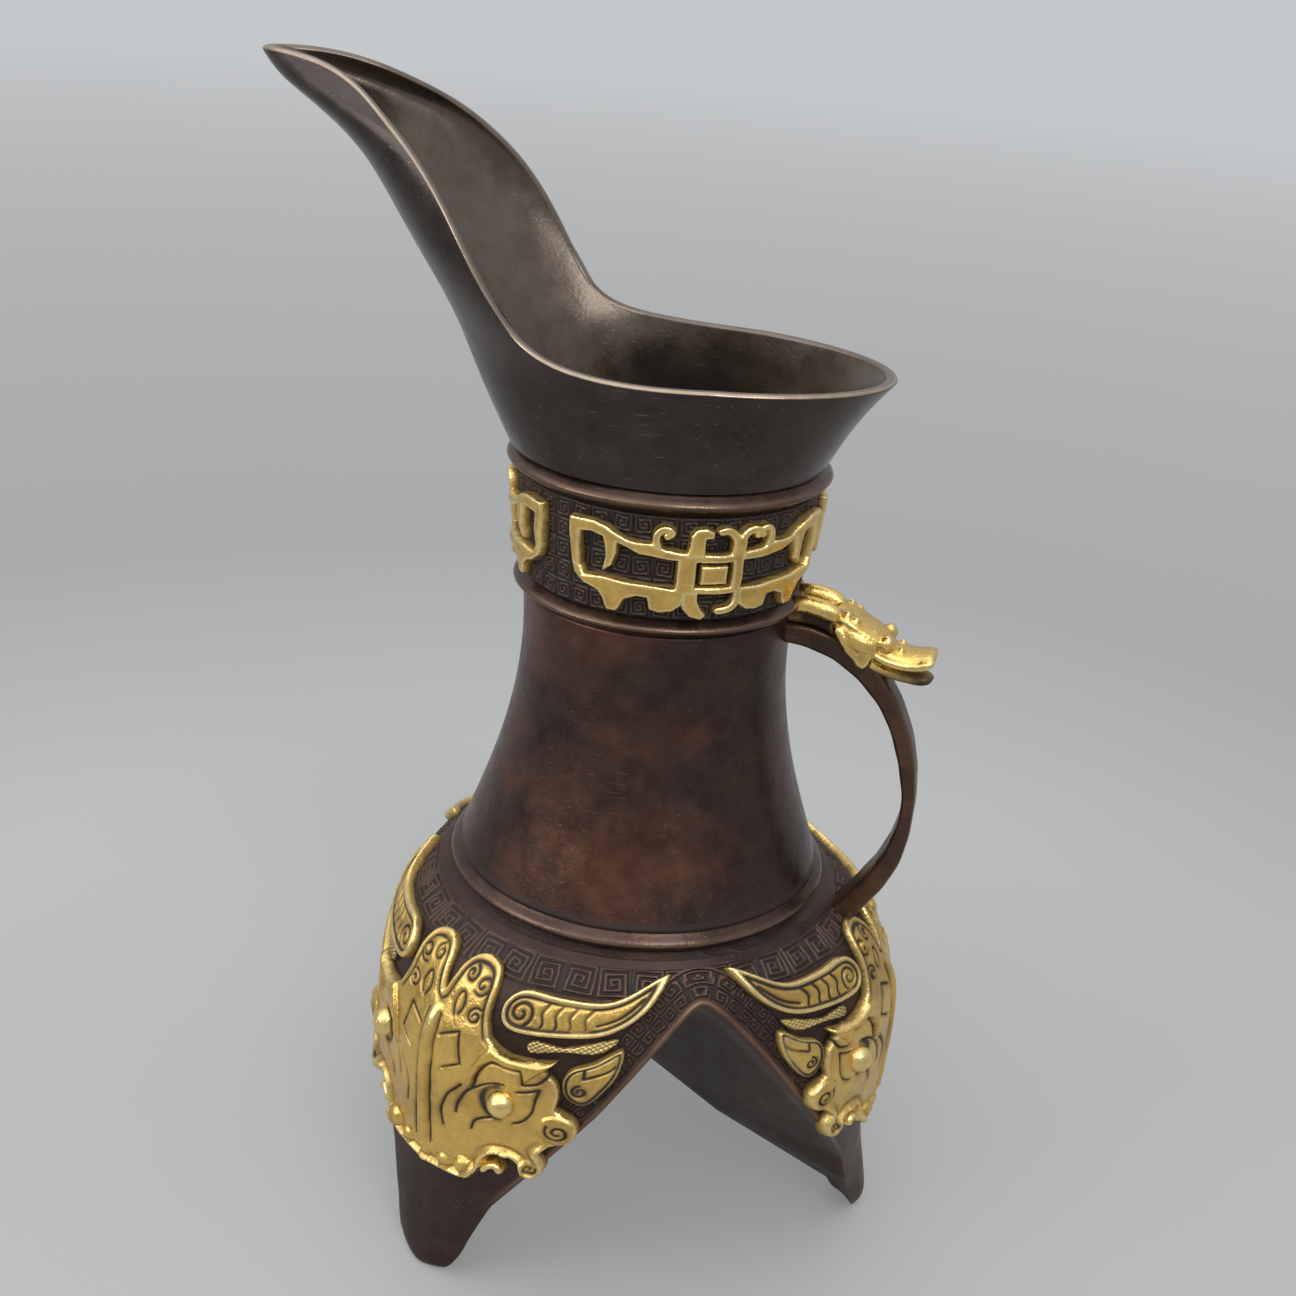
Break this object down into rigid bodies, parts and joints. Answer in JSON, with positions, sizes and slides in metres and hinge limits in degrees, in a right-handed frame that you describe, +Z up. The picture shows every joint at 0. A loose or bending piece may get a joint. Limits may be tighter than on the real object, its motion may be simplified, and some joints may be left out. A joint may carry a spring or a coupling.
{
  "type": "bronze tripod pouring vessel",
  "caption": "Ancient-style bronze pouring vessel on hollow pouch legs with gilt beast masks, a waisted barrel, a long upswept spout and a strap handle with a beast head.",
  "frame": {"origin": "middle of the overall box, on the surface that the feet stand on", "axes": "+Z up, +X from the spout towards the handle, +Y to the rear as pictured"},
  "size_m": [0.1212, 0.0978, 0.197],
  "materials": {
    "dark_bronze": "patinated",
    "brown_bronze": "patinated",
    "gilt_bronze": "polished"
  },
  "bodies": {
    "root": {"mouth_spout": "dark_bronze", "mouth_bead": "dark_bronze", "neck_band": "dark_bronze", "band_bead": "dark_bronze", "barrel": "dark_bronze", "shoulder_bead": "dark_bronze", "leg_handle_side": "dark_bronze", "leg_front": "dark_bronze", "leg_rear": "dark_bronze", "handle_strap": "brown_bronze", "dragon_head": "gilt_bronze", "band_motif_front": "gilt_bronze", "band_motif_rear": "gilt_bronze", "band_motif_spout": "gilt_bronze", "mask_face_handle_side": "gilt_bronze", "mask_eyes_handle_side": "gilt_bronze", "mask_horn_left_handle_side": "gilt_bronze", "mask_horn_right_handle_side": "gilt_bronze", "mask_ear_left_handle_side": "gilt_bronze", "mask_ear_right_handle_side": "gilt_bronze", "mask_face_front": "gilt_bronze", "mask_eyes_front": "gilt_bronze", "mask_horn_left_front": "gilt_bronze", "mask_horn_right_front": "gilt_bronze", "mask_ear_left_front": "gilt_bronze", "mask_ear_right_front": "gilt_bronze", "mask_face_rear": "gilt_bronze", "mask_eyes_rear": "gilt_bronze", "mask_horn_left_rear": "gilt_bronze", "mask_horn_right_rear": "gilt_bronze", "mask_ear_left_rear": "gilt_bronze", "mask_ear_right_rear": "gilt_bronze"}
  },
  "joints": []
}
